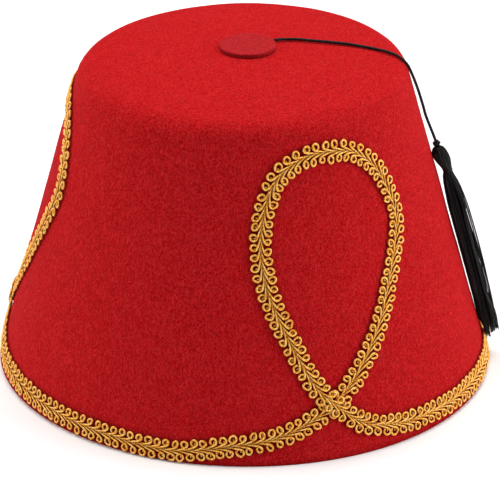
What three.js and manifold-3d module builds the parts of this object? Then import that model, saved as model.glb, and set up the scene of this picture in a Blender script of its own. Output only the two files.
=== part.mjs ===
// A fez: a moulded red felt crown trimmed with one gold gimp braid, with a felt button and a black tassel.
// Millimetres, +Z up. The origin is the centre of the rim's lower edge, and the front faces -Y.
// An azimuth is 0 at the front and grows towards +X, where the tassel hangs.
import * as THREE from "three";
import Module from "manifold-3d";
import { mergeVertices } from "three/addons/utils/BufferGeometryUtils.js";

const wasm = await Module();
wasm.setup();
const { degToRad, lerp, smoothstep } = THREE.MathUtils;

// Crown: the side is a straight cone that would meet the top's plane at the top radius.
const RIM_RADIUS = 96;
const TOP_RADIUS = 62.3;
const CROWN_HEIGHT = 124;
const TOP_DOME = 4.6;
const EDGE_ROUND = 8.2;
const FELT_WALL = 2;
const RIM_OVAL = 0.013; // share by which the rim is longer along the oval azimuth
const TOP_OVAL = -0.014; // the top is a little oval the other way
const OVAL_AZIMUTH = degToRad(48.8);

// Clear gap between pieces that touch on the real hat
const SEAT_GAP = 0.3;

// Felt button on the top
const BUTTON_RADIUS = 11;
const BUTTON_THICKNESS = 1.4;
const BUTTON_ROUND = 0.42; // rounding of its edge
const BUTTON_RIGHT = 2; // it is sewn on a little to the right of the middle
const BUTTON_BACK = 1.5; // and a little behind it

// Gimp braid
const BRAID_WIDTH = 8.4;
const BRAID_THICKNESS = 1.5;
const BRAID_FOOT = 0.5; // from the rim's edge up to the braid's lower edge
const LOOP_COUNT = 3;
const LOOP_AZIMUTH = degToRad(27.5); // middle of the front loop
const LOOP_HALF_SPREAD = degToRad(22.8);
const LOOP_TOP_GAP = 8.5; // from the top's plane down to the loop's upper edge
const LIFT_NEAR = 0.75; // the braid is lifted in full up to this share of its width from the crossing
const LIFT_FAR = 1.5; // and lies on the felt again from this share on

// Cord, knot and tassel
const CORD_DIAMETER = 1.2;
const KNOT_DIAMETER = 2.8;
const KNOT_HEIGHT = 2.4;
const KNOT_END_WALL = 0.2; // share of the knot's wall that is left at its two ends
const HEAD_DIAMETER = 5.8;
const HEAD_HEIGHT = 8.4;
const NECK_DIAMETER = 3.4;
const NECK_HEIGHT = 3;
const SKIRT_DIAMETER = 8.2;
const HANG_GAP = 0.36; // clear gap between the skirt and the crown
const HEAD_LEAN = 1.5; // how much nearer the crown the head's middle is than the skirt's
const TASSEL_DROP = 36.4; // from the top's plane down to the head's top
const TASSEL_HEM = 6.4; // from the rim's plane up to the end of the longest lock
const CORD_DEPTH = 36; // how far the cord runs on inside the tassel

// Fineness of the meshes
const CROWN_SIDES = 72;
const SIDE_ROWS = 4;
const EDGE_ROWS = 5;
const DOME_ROWS = 4;
const BUTTON_SIDES = 40;
const SMALL_SIDES = 20;
const BRAID_STEPS = 92; // in each loop with its stretch of rim
const CORD_SIDES = 8;
const CORD_STEPS = 52;
const LOCK_SIDES = 6;
const KNOT_ROWS = 6;
const HOLE_ROWS = 12;

// Route of the braid's middle for one loop, from left to right along the rim. It climbs the right
// branch, comes back over the top and down the left branch, and crosses over its own start.
// across is a share of the loop's half spread, and up a share of its rise.
const LOOP_ROUTE = [
  { across: -1.9, up: 0 },
  { across: -1.33, up: 0.029 },
  { across: -0.9, up: 0.057 },
  { across: -0.5, up: 0.113 },
  { across: -0.224, up: 0.16 },
  { across: 0.009, up: 0.224 },
  { across: 0.408, up: 0.374 },
  { across: 0.728, up: 0.54 },
  { across: 0.939, up: 0.65 },
  { across: 1.02, up: 0.72 },
  { across: 1, up: 0.78 },
  { across: 0.833, up: 0.895 },
  { across: 0.474, up: 0.977 },
  { across: 0.066, up: 1 },
  { across: -0.368, up: 0.992 },
  { across: -0.75, up: 0.93 },
  { across: -0.939, up: 0.812 },
  { across: -0.982, up: 0.7 },
  { across: -0.912, up: 0.559 },
  { across: -0.68, up: 0.38 },
  { across: -0.386, up: 0.213 },
  { across: -0.224, up: 0.16 },
  { across: 0.053, up: 0.075 },
  { across: 0.456, up: 0.029 },
  { across: 0.882, up: 0.017 },
  { across: 1.9, up: 0.017 },
];
const CROSSING_ROW = LOOP_ROUTE[4];
const RUN_UP = 0.004; // where one loop's stretch of rim passes into the next, as a share of the rise

// Section of the braid: across is a share of its half width, and up a share of its thickness.
const BRAID_SECTION = [
  { across: -1, up: 0 },
  { across: 0, up: 0 },
  { across: 1, up: 0 },
  { across: 1, up: 0.5 },
  { across: 0.3, up: 1 },
  { across: -0.3, up: 1 },
  { across: -1, up: 0.5 },
];

// The cord's middle line, from the button to the knot, chosen by hand
const CORD_ROUTE = [
  [11.85, 7.35, 129.645],
  [15, 8.4, 129.52],
  [21, 9.1, 129.22],
  [27, 8.7, 128.86],
  [34, 8.4, 128.31],
  [40.5, 8, 127.69],
  [46.5, 7, 127.03],
  [52, 5.7, 126.35],
  [56.3, 4, 125.77],
  [59.8, 2, 124.83],
  [62.9, 0.5, 122.36],
  [64.65, 0, 119],
  [67.04, 0, 112.6],
  [69.7, 0, 104.4],
];

// Locks of the tassel's skirt. turn and length are shares of a whole turn and of the skirt, out is a
// share of the skirt's half width, and sway the share by which the lock's end strays round.
const LOCKS = [
  { turn: 0, length: 0.97, out: 0.66, sway: 0.03 },
  { turn: 0.11, length: 1, out: 0.68, sway: -0.02 },
  { turn: 0.21, length: 0.94, out: 0.64, sway: 0.02 },
  { turn: 0.32, length: 0.98, out: 0.66, sway: 0.04 },
  { turn: 0.43, length: 0.93, out: 0.62, sway: -0.03 },
  { turn: 0.54, length: 0.96, out: 0.62, sway: 0.02 },
  { turn: 0.64, length: 0.99, out: 0.66, sway: -0.04 },
  { turn: 0.77, length: 0.95, out: 0.68, sway: 0.03 },
  { turn: 0.89, length: 1, out: 0.66, sway: -0.02 },
];

// How a lock runs: down is a share of its length, out and wide are shares of its full reach and width.
const LOCK_ROWS = [
  { down: 0, out: 0.3, wide: 0.55 },
  { down: 0.06, out: 0.62, wide: 0.75 },
  { down: 0.16, out: 0.95, wide: 0.95 },
  { down: 0.4, out: 1, wide: 1 },
  { down: 0.66, out: 1, wide: 0.98 },
  { down: 0.86, out: 0.84, wide: 0.78 },
  { down: 1, out: 0.6, wide: 0.34 },
];

// The core that the locks hang round: down is a share of the skirt, wide of its half width.
const CORE_ROWS = [
  { down: 0.85, wide: 0 },
  { down: 0.7, wide: 0.6 },
  { down: 0.14, wide: 0.64 },
];

// The head, from the neck up: down is a share of its height, wide of its half width.
const HEAD_ROWS = [
  { down: 0.75, wide: 0.9 },
  { down: 0.45, wide: 1 },
  { down: 0.2, wide: 0.9 },
  { down: 0.04, wide: 0.62 },
  { down: 0, wide: 0 },
];

const felt = new THREE.MeshStandardMaterial({ color: 0xc0181c, roughness: 0.95, metalness: 0 });
const buttonFelt = new THREE.MeshStandardMaterial({ color: 0xc22830, roughness: 0.95, metalness: 0 });
const goldGimp = new THREE.MeshStandardMaterial({ color: 0xc08a3c, roughness: 0.4, metalness: 0.7 });
const blackSilk = new THREE.MeshStandardMaterial({ color: 0x0b0a0b, roughness: 0.6, metalness: 0 });

// Crown outline: side line, round edge and dome meet with shared tangents.
const sideLean = Math.atan2(RIM_RADIUS - TOP_RADIUS, CROWN_HEIGHT);
const domeSlope = Math.atan2(2 * TOP_DOME, TOP_RADIUS);
const edgeTurn = Math.PI / 2 - sideLean - domeSlope;
const edgeReach = EDGE_ROUND * Math.tan(edgeTurn / 2);
const edgeFoot = {
  radius: TOP_RADIUS + edgeReach * Math.sin(sideLean),
  height: CROWN_HEIGHT - edgeReach * Math.cos(sideLean),
};
const edgeCentre = {
  radius: edgeFoot.radius - EDGE_ROUND * Math.cos(sideLean),
  height: edgeFoot.height - EDGE_ROUND * Math.sin(sideLean),
};
const domeFoot = {
  radius: TOP_RADIUS - edgeReach * Math.cos(domeSlope),
  height: CROWN_HEIGHT + edgeReach * Math.sin(domeSlope),
};
const domeSag = Math.tan(domeSlope) / (2 * domeFoot.radius);

function domeHeight(radius) {
  return domeFoot.height + domeSag * (domeFoot.radius ** 2 - radius ** 2);
}

function ovalRadius(radius, azimuth, height) {
  const share = lerp(RIM_OVAL, TOP_OVAL, height / CROWN_HEIGHT);
  return radius * (1 + share * Math.cos(2 * (azimuth - OVAL_AZIMUTH)));
}

// A point on the side of the crown, or standing off it along the side's normal
function onSide(azimuth, height, off) {
  const round = RIM_RADIUS - height * Math.tan(sideLean);
  const radius = ovalRadius(round, azimuth, height) + off * Math.cos(sideLean);
  const z = height + off * Math.sin(sideLean);
  return new THREE.Vector3(radius * Math.sin(azimuth), -radius * Math.cos(azimuth), z);
}

// Half of the crown's section, from the rim to the axis, set in from the outside by inset
function crownOutline(inset) {
  const rimRadius = RIM_RADIUS - inset / Math.cos(sideLean);
  const foot = new THREE.Vector2(
    edgeFoot.radius - inset * Math.cos(sideLean),
    edgeFoot.height - inset * Math.sin(sideLean),
  );
  const points = [];
  for (let i = 0; i < SIDE_ROWS; i++) {
    points.push(new THREE.Vector2(rimRadius, 0).lerp(foot, i / SIDE_ROWS));
  }
  for (let i = 0; i <= EDGE_ROWS; i++) {
    const angle = sideLean + (edgeTurn * i) / EDGE_ROWS;
    const round = EDGE_ROUND - inset;
    points.push(
      new THREE.Vector2(
        edgeCentre.radius + round * Math.cos(angle),
        edgeCentre.height + round * Math.sin(angle),
      ),
    );
  }
  for (let i = 1; i <= DOME_ROWS; i++) {
    const radius = domeFoot.radius * (1 - i / DOME_ROWS);
    const slope = Math.atan(2 * domeSag * radius);
    points.push(
      new THREE.Vector2(
        radius - inset * Math.sin(slope),
        domeHeight(radius) - inset * Math.cos(slope),
      ),
    );
  }
  return points;
}

// A profile turned round the Z axis, with azimuth 0 at -Y
function turned(profile, sides) {
  const geometry = new THREE.LatheGeometry(profile, sides).rotateX(Math.PI / 2);
  return bare(geometry);
}

// The geometry with positions alone and its shared vertices merged
function bare(geometry) {
  geometry.deleteAttribute("normal");
  geometry.deleteAttribute("uv");
  return mergeVertices(geometry, 1e-4);
}

// Moves every vertex of a geometry to where place(vertex) puts it
function moved(geometry, place) {
  const positions = geometry.getAttribute("position");
  const vertex = new THREE.Vector3();
  for (let i = 0; i < positions.count; i++) {
    vertex.fromBufferAttribute(positions, i);
    place(vertex);
    positions.setXYZ(i, vertex.x, vertex.y, vertex.z);
  }
  return geometry;
}

// A skin over rings of equal point counts, joined end to start or closed by a flat cap at both ends
function skinned(rings, joined) {
  const count = rings[0].length;
  const index = [];
  const spans = joined ? rings.length : rings.length - 1;
  for (let i = 0; i < spans; i++) {
    const here = i * count;
    const next = ((i + 1) % rings.length) * count;
    for (let j = 0; j < count; j++) {
      const k = (j + 1) % count;
      index.push(here + j, here + k, next + k);
      index.push(here + j, next + k, next + j);
    }
  }
  const last = (rings.length - 1) * count;
  for (let j = 1; !joined && j < count - 1; j++) {
    index.push(0, j + 1, j);
    index.push(last, last + j, last + j + 1);
  }
  const positions = rings.flat().flatMap((point) => point.toArray());
  return new THREE.BufferGeometry()
    .setAttribute("position", new THREE.Float32BufferAttribute(positions, 3))
    .setIndex(index);
}

function solidOf(geometry) {
  const vertProperties = new Float32Array(geometry.getAttribute("position").array);
  const triVerts = new Uint32Array(geometry.index.array);
  return new wasm.Manifold(new wasm.Mesh({ numProp: 3, vertProperties, triVerts }));
}

function geometryOf(solid) {
  const mesh = solid.getMesh();
  return new THREE.BufferGeometry()
    .setAttribute("position", new THREE.BufferAttribute(mesh.vertProperties, 3))
    .setIndex(new THREE.BufferAttribute(mesh.triVerts, 1));
}

function piece(name, geometry, material) {
  const mesh = new THREE.Mesh(geometry, material);
  mesh.name = name;
  return mesh;
}

function feltCrown() {
  const profile = [...crownOutline(FELT_WALL).reverse(), ...crownOutline(0)];
  return moved(turned(profile, CROWN_SIDES), (vertex) => {
    const round = Math.hypot(vertex.x, vertex.y);
    const azimuth = Math.atan2(vertex.x, -vertex.y);
    const radius = ovalRadius(round, azimuth, vertex.z);
    vertex.set(radius * Math.sin(azimuth), -radius * Math.cos(azimuth), vertex.z);
  });
}

// The button is a flat disc with rounded edges, laid on the dome.
function topButton() {
  const profile = [
    new THREE.Vector2(0, 0),
    new THREE.Vector2(BUTTON_RADIUS / 2, 0),
    new THREE.Vector2(BUTTON_RADIUS - BUTTON_ROUND, 0),
    new THREE.Vector2(BUTTON_RADIUS, BUTTON_ROUND),
    new THREE.Vector2(BUTTON_RADIUS, BUTTON_THICKNESS - BUTTON_ROUND),
    new THREE.Vector2(BUTTON_RADIUS - BUTTON_ROUND, BUTTON_THICKNESS),
    new THREE.Vector2(BUTTON_RADIUS / 2, BUTTON_THICKNESS),
    new THREE.Vector2(0, BUTTON_THICKNESS),
  ];
  return moved(turned(profile, BUTTON_SIDES), (vertex) => {
    vertex.x += BUTTON_RIGHT;
    vertex.y += BUTTON_BACK;
    vertex.z += domeHeight(Math.hypot(vertex.x, vertex.y)) + SEAT_GAP;
  });
}

// The braid's middle on one loop and its stretch of rim, as azimuth and height at even steps
const runHeight = BRAID_FOOT + (BRAID_WIDTH / 2) * Math.cos(sideLean);
const loopTop = CROWN_HEIGHT - LOOP_TOP_GAP - (BRAID_WIDTH / 2) * Math.cos(sideLean);
const loopPitch = (2 * Math.PI) / LOOP_COUNT;
const meanRadius = (RIM_RADIUS + TOP_RADIUS) / 2;

function loopPoint(row) {
  return {
    azimuth: LOOP_AZIMUTH + row.across * LOOP_HALF_SPREAD,
    height: lerp(runHeight, loopTop, row.up),
  };
}

function loopPath() {
  const halfPitch = loopPitch / 2 / LOOP_HALF_SPREAD;
  const ends = [{ across: -halfPitch, up: RUN_UP }, { across: halfPitch, up: RUN_UP }];
  const rows = [ends[0], ...LOOP_ROUTE, ends[1]].map(loopPoint);
  const curve = new THREE.CatmullRomCurve3(
    rows.map((row) => new THREE.Vector3(row.azimuth * meanRadius, row.height, 0)),
  );
  curve.arcLengthDivisions = 40 * rows.length;
  return curve
    .getSpacedPoints(BRAID_STEPS)
    .map((point) => ({ azimuth: point.x / meanRadius, height: point.y }));
}

// How far the braid is lifted over its own start at the crossing
function crossingLift(step, azimuth, height) {
  if (step < BRAID_STEPS / 2) return 0;
  const crossing = loopPoint(CROSSING_ROW);
  const away = onSide(azimuth, height, 0).distanceTo(
    onSide(crossing.azimuth, crossing.height, 0),
  );
  const share = 1 - smoothstep(away, LIFT_NEAR * BRAID_WIDTH, LIFT_FAR * BRAID_WIDTH);
  return (BRAID_THICKNESS + SEAT_GAP) * share;
}

function gimpBraid() {
  const path = loopPath();
  const rings = [];
  for (let loop = 0; loop < LOOP_COUNT; loop++) {
    for (let step = 0; step < BRAID_STEPS; step++) {
      const { azimuth, height } = path[step];
      const turn = loop * loopPitch;
      const lift = SEAT_GAP + crossingLift(step, azimuth, height);
      const before = step > 0 ? path[step - 1] : path[step];
      const after = path[step + 1];
      const travel = onSide(after.azimuth + turn, after.height, 0)
        .sub(onSide(before.azimuth + turn, before.height, 0))
        .normalize();
      const middle = onSide(azimuth + turn, height, 0);
      const normal = onSide(azimuth + turn, height, 1).sub(middle);
      const side = normal.clone().cross(travel).normalize();
      rings.push(
        BRAID_SECTION.map(({ across, up }) => {
          const point = middle.clone().addScaledVector(side, (across * BRAID_WIDTH) / 2);
          return onSide(Math.atan2(point.x, -point.y), point.z, lift + up * BRAID_THICKNESS);
        }),
      );
    }
  }
  return skinned(rings, true);
}

// The tassel hangs along a line beside the crown's side: its group has its origin at the head's top,
// with -Z running down the slope and -X towards the crown.
const tasselHang = new THREE.Group();
const hangOff = Math.max(SKIRT_DIAMETER, HEAD_DIAMETER) / 2 + HANG_GAP;
const tasselTop = CROWN_HEIGHT - TASSEL_DROP;
tasselHang.position.copy(onSide(Math.PI / 2, tasselTop, hangOff));
tasselHang.rotation.y = -sideLean;
tasselHang.updateMatrixWorld(true);
const neckFoot = -HEAD_HEIGHT - NECK_HEIGHT;
const skirtLength = (tasselTop - TASSEL_HEM) / Math.cos(sideLean) + neckFoot;

// The head is thinner than the skirt, so it leans in to lie against the crown as well.
function leanIn(z) {
  return -HEAD_LEAN * (1 - smoothstep(-z, 0, -neckFoot));
}

function leant(geometry) {
  return moved(geometry, (vertex) => {
    vertex.x += leanIn(vertex.z);
  });
}

const cordBore = CORD_DIAMETER / 2 + SEAT_GAP;

function tasselCord() {
  const inHead = [KNOT_HEIGHT, 0, neckFoot / 3, (2 * neckFoot) / 3, neckFoot];
  const inTassel = [...inHead, -CORD_DEPTH / 2, -CORD_DEPTH].map((z) =>
    tasselHang.localToWorld(new THREE.Vector3(leanIn(z), 0, z)),
  );
  const route = [...CORD_ROUTE.map((point) => new THREE.Vector3(...point)), ...inTassel];
  const section = new THREE.Shape();
  for (let i = 0; i < CORD_SIDES; i++) {
    const angle = (2 * Math.PI * i) / CORD_SIDES;
    const x = (CORD_DIAMETER / 2) * Math.cos(angle);
    const y = (CORD_DIAMETER / 2) * Math.sin(angle);
    if (i === 0) section.moveTo(x, y);
    else section.lineTo(x, y);
  }
  section.closePath();
  return new THREE.ExtrudeGeometry(section, {
    steps: CORD_STEPS,
    extrudePath: new THREE.CatmullRomCurve3(route),
  });
}

// The knot is a round barrel with the cord's bore through it.
function cordKnot() {
  const profile = [new THREE.Vector2(cordBore, SEAT_GAP)];
  const wall = KNOT_DIAMETER / 2 - cordBore;
  for (let i = 0; i <= KNOT_ROWS; i++) {
    const angle = Math.PI * (i / KNOT_ROWS - 0.5);
    profile.push(
      new THREE.Vector2(
        cordBore + wall * lerp(KNOT_END_WALL, 1, Math.cos(angle)),
        SEAT_GAP + (KNOT_HEIGHT / 2) * (1 + Math.sin(angle)),
      ),
    );
  }
  profile.push(new THREE.Vector2(cordBore, SEAT_GAP + KNOT_HEIGHT));
  profile.push(profile[0].clone());
  return leant(turned(profile, SMALL_SIDES));
}

// Head, bound neck and the core that the locks are fused to, turned as one piece
function tasselCore() {
  const neckRadius = NECK_DIAMETER / 2;
  const core = CORE_ROWS.map(
    ({ down, wide }) =>
      new THREE.Vector2((wide * SKIRT_DIAMETER) / 2, neckFoot - down * skirtLength),
  );
  const head = HEAD_ROWS.map(
    ({ down, wide }) => new THREE.Vector2((wide * HEAD_DIAMETER) / 2, -down * HEAD_HEIGHT),
  );
  const neck = [new THREE.Vector2(neckRadius, neckFoot), new THREE.Vector2(neckRadius, -HEAD_HEIGHT)];
  return turned([...core, ...neck, ...head], SMALL_SIDES);
}

// The hole down the tassel's middle that the cord runs into, in rows short enough to lean with it
function cordHole() {
  const foot = -CORD_DEPTH - SEAT_GAP;
  const profile = [new THREE.Vector2(0, foot)];
  for (let i = 0; i <= HOLE_ROWS; i++) {
    profile.push(new THREE.Vector2(cordBore, lerp(foot, HEAD_HEIGHT, i / HOLE_ROWS)));
  }
  profile.push(new THREE.Vector2(0, HEAD_HEIGHT));
  return turned(profile, SMALL_SIDES);
}

function tasselLock(lock) {
  const top = -HEAD_HEIGHT - NECK_HEIGHT * 0.9;
  const reach = (SKIRT_DIAMETER / 2) * lock.out;
  const half = SKIRT_DIAMETER / 2 - reach;
  const rings = LOCK_ROWS.map(({ down, out, wide }) => {
    const azimuth = 2 * Math.PI * (lock.turn + lock.sway * down);
    const z = top - skirtLength * lock.length * down;
    const ring = [];
    for (let i = 0; i < LOCK_SIDES; i++) {
      const angle = (-2 * Math.PI * i) / LOCK_SIDES;
      const outwards = reach * out + half * wide * Math.cos(angle);
      const sideways = half * wide * Math.sin(angle);
      ring.push(
        new THREE.Vector3(
          outwards * Math.cos(azimuth) - sideways * Math.sin(azimuth),
          outwards * Math.sin(azimuth) + sideways * Math.cos(azimuth),
          z,
        ),
      );
    }
    return ring;
  });
  return skinned(rings, false);
}

function tassel() {
  let solid = solidOf(leant(tasselCore()));
  for (const lock of LOCKS) {
    solid = solid.add(solidOf(leant(tasselLock(lock))));
  }
  return geometryOf(solid.subtract(solidOf(leant(cordHole()))));
}

const fez = new THREE.Group();
fez.add(piece("felt_crown", feltCrown(), felt));
fez.add(piece("top_button", topButton(), buttonFelt));
fez.add(piece("gimp_braid", gimpBraid(), goldGimp));
fez.add(piece("tassel_cord", tasselCord(), blackSilk));
tasselHang.add(piece("cord_knot", cordKnot(), blackSilk));
tasselHang.add(piece("tassel", tassel(), blackSilk));
fez.add(tasselHang);

export default fez;
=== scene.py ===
import math

import bpy
import numpy as np
from mathutils import Matrix, Vector, noise


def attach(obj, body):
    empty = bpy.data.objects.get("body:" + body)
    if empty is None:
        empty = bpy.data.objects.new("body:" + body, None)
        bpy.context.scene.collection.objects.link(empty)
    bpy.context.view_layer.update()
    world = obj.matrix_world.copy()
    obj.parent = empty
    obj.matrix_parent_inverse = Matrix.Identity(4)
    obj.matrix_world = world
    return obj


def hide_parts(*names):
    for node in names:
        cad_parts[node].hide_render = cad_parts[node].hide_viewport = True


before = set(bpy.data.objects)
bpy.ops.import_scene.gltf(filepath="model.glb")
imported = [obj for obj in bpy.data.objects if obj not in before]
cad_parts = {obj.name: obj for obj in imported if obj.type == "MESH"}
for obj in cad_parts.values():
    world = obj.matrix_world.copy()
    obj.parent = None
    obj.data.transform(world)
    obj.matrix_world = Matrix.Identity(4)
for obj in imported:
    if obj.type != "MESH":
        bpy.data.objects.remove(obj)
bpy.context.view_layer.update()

# A fez: a red felt crown with a felt button, a black cord and tassel, and one gold scroll braid.
# Metres, +Z up. The origin is the centre of the rim's lower edge, and the front faces -Y.
# An azimuth is 0 at the front and grows towards +X, where the tassel hangs.

# View
# The hat stands rim down and is looked at from the front and a little above, through a long lens,
# so that its sides keep their true slope.
CAMERA_ELEVATION = math.radians(25.36)
CAMERA_ROLL = math.radians(-0.13)
CAMERA_DISTANCE = 1.5175
CAMERA_LENS = 279.8
LOOKED_AT = Vector((0.00269, 0, 0.04797))

to_camera = Vector((0, -math.cos(CAMERA_ELEVATION), math.sin(CAMERA_ELEVATION)))
level_right = Vector((1, 0, 0))
level_up = to_camera.cross(level_right)
camera_right = level_right * math.cos(CAMERA_ROLL) + level_up * math.sin(CAMERA_ROLL)
camera_up = level_up * math.cos(CAMERA_ROLL) - level_right * math.sin(CAMERA_ROLL)
camera = bpy.data.objects.new("camera", bpy.data.cameras.new("camera"))
camera.data.lens = CAMERA_LENS
camera.matrix_world = Matrix.Translation(LOOKED_AT + CAMERA_DISTANCE * to_camera) @ Matrix(
    (camera_right, camera_up, to_camera)
).transposed().to_4x4()
bpy.context.scene.collection.objects.link(camera)
bpy.context.scene.camera = camera

# Felt crown
# One cone of red wool felt, wetted and pulled over a wooden block, so it has no seam and its top
# turns over in a soft round edge. The rim is a bare cut edge that the hat stands on.
RIM_RADIUS = 0.096
TOP_RADIUS = 0.0623
CROWN_HEIGHT = 0.124
TOP_DOME = 0.0046
EDGE_ROUND = 0.0082
FELT_WALL = 0.002
RIM_OVAL = 0.013
TOP_OVAL = -0.014
OVAL_AZIMUTH = math.radians(48.8)
CUT_ROUND = 0.0003
# How far the hand-pulled felt swells in and out, over what distance, and from what height in full.
FELT_WAVE = 0.00022
FELT_WAVE_SPAN = 0.017
FELT_WAVE_FOOT = 0.004
# Rows of the mesh up the side, round the edge and in to the middle of the top.
CROWN_SIDES = 300
OUTSIDE_ROWS = (112, 26, 50)
INSIDE_ROWS = (44, 14, 18)
# The felt's surface fibres: each layer's stretch and scale, their width, and their share and that
# of the cloudy patches in its tone.
FIBRE_LAYERS = (((1, 1, 0.5), 1000.0), ((0.8, 1.2, 1), 1150.0))
FIBRE_WIDTH = 0.07
FIBRE_SHARE = 0.45
CLOUD_SHARE = 0.06
# The tint of the painted shade under and beside the braid and at the rim's foot.
BRAID_SHADE_TINT = (0.45, 0.34, 0.3)
CROWN_RED = (0.475, 0.0045, 0.0068)
CROWN_DARK = (0.365, 0.0012, 0.0026)
CROWN_LIGHT = (0.60, 0.0175, 0.0200)

side_lean = math.atan2(RIM_RADIUS - TOP_RADIUS, CROWN_HEIGHT)
dome_slope = math.atan2(2 * TOP_DOME, TOP_RADIUS)
edge_turn = math.pi / 2 - side_lean - dome_slope
edge_reach = EDGE_ROUND * math.tan(edge_turn / 2)
edge_foot = np.array(
    (TOP_RADIUS + edge_reach * math.sin(side_lean), CROWN_HEIGHT - edge_reach * math.cos(side_lean))
)
edge_centre = edge_foot - EDGE_ROUND * np.array((math.cos(side_lean), math.sin(side_lean)))
dome_foot_radius = TOP_RADIUS - edge_reach * math.cos(dome_slope)
dome_foot_height = CROWN_HEIGHT + edge_reach * math.sin(dome_slope)
dome_sag = math.tan(dome_slope) / (2 * dome_foot_radius)


def dome_height(radius):
    return dome_foot_height + dome_sag * (dome_foot_radius**2 - radius**2)


def oval_radius(radius, azimuth, height):
    share = RIM_OVAL + (TOP_OVAL - RIM_OVAL) * height / CROWN_HEIGHT
    return radius * (1 + share * np.cos(2 * (azimuth - OVAL_AZIMUTH)))


def on_side(azimuth, height, off=0.0):
    """Points on the side of the crown, or standing off it along the side's normal."""
    straight = RIM_RADIUS - height * math.tan(side_lean)
    radius = oval_radius(straight, azimuth, height) + off * math.cos(side_lean)
    z = height + off * math.sin(side_lean)
    return np.stack((radius * np.sin(azimuth), -radius * np.cos(azimuth), z + 0 * radius), axis=-1)


def crown_outline(inset, side_rows, edge_rows, dome_rows):
    """Radius and height from the cut edge up to the middle of the top, set in from the outside."""
    rim = np.array((RIM_RADIUS - inset / math.cos(side_lean), CUT_ROUND))
    foot = edge_foot - inset * np.array((math.cos(side_lean), math.sin(side_lean)))
    side = rim + (foot - rim) * np.linspace(0, 1, side_rows, endpoint=False)[:, None]
    angle = side_lean + edge_turn * np.linspace(0, 1, edge_rows)
    edge = edge_centre + (EDGE_ROUND - inset) * np.stack((np.cos(angle), np.sin(angle)), axis=1)
    radius = dome_foot_radius * np.linspace(1, 0, dome_rows + 1)[1:]
    slope = np.arctan(2 * dome_sag * radius)
    dome = np.stack(
        (radius - inset * np.sin(slope), dome_height(radius) - inset * np.cos(slope)), axis=1
    )
    return np.concatenate((side, edge, dome))


def new_piece(name, points, faces):
    """A smooth mesh object at the origin."""
    mesh = bpy.data.meshes.new(name)
    mesh.from_pydata(points.tolist(), [], faces)
    mesh.polygons.foreach_set("use_smooth", [True] * len(faces))
    piece = bpy.data.objects.new(name, mesh)
    bpy.context.scene.collection.objects.link(piece)
    return piece


def turned(profile, sides):
    """Points and faces of a profile turned round the Z axis. It starts and ends on the axis."""
    turn = 2 * np.pi * np.arange(sides) / sides
    rows = profile[1:-1]
    rings = np.stack(
        (
            rows[:, :1] * np.sin(turn),
            -rows[:, :1] * np.cos(turn),
            np.repeat(rows[:, 1:], sides, axis=1),
        ),
        axis=-1,
    ).reshape(-1, 3)
    poles = np.array(((0, 0, profile[0, 1]), (0, 0, profile[-1, 1])))
    here = np.arange(sides)
    after = (here + 1) % sides
    faces = []
    for row in range(len(rows) - 1):
        low = row * sides
        high = low + sides
        faces += np.stack((low + here, low + after, high + after, high + here), axis=1).tolist()
    last = (len(rows) - 1) * sides
    first_pole = len(rings)
    faces += [(first_pole, int(b), int(a)) for a, b in zip(here, after)]
    faces += [(first_pole + 1, int(last + a), int(last + b)) for a, b in zip(here, after)]
    return np.concatenate((rings, poles)), faces


def add_node(tree, kind, links=(), **settings):
    """A node with its settings. Links gives its inputs, by name or number, a socket or a value."""
    node = tree.nodes.new("ShaderNode" + kind)
    for name, value in settings.items():
        setattr(node, name, value)
    for key, value in dict(links).items():
        if isinstance(value, bpy.types.NodeSocket):
            tree.links.new(value, node.inputs[key])
        else:
            node.inputs[key].default_value = value
    return node


def new_material(name):
    """A node material, its tree and its shader."""
    material = bpy.data.materials.new(name)
    material.use_nodes = True
    return material, material.node_tree, material.node_tree.nodes["Principled BSDF"]


def ramp_colours(node, stops):
    """Sets a colour ramp's stops from (place, colour) pairs."""
    while len(node.color_ramp.elements) < len(stops):
        node.color_ramp.elements.new(0.5)
    for element, (place, colour) in zip(node.color_ramp.elements, stops):
        element.position = place
        element.color = (*colour, 1)


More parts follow.
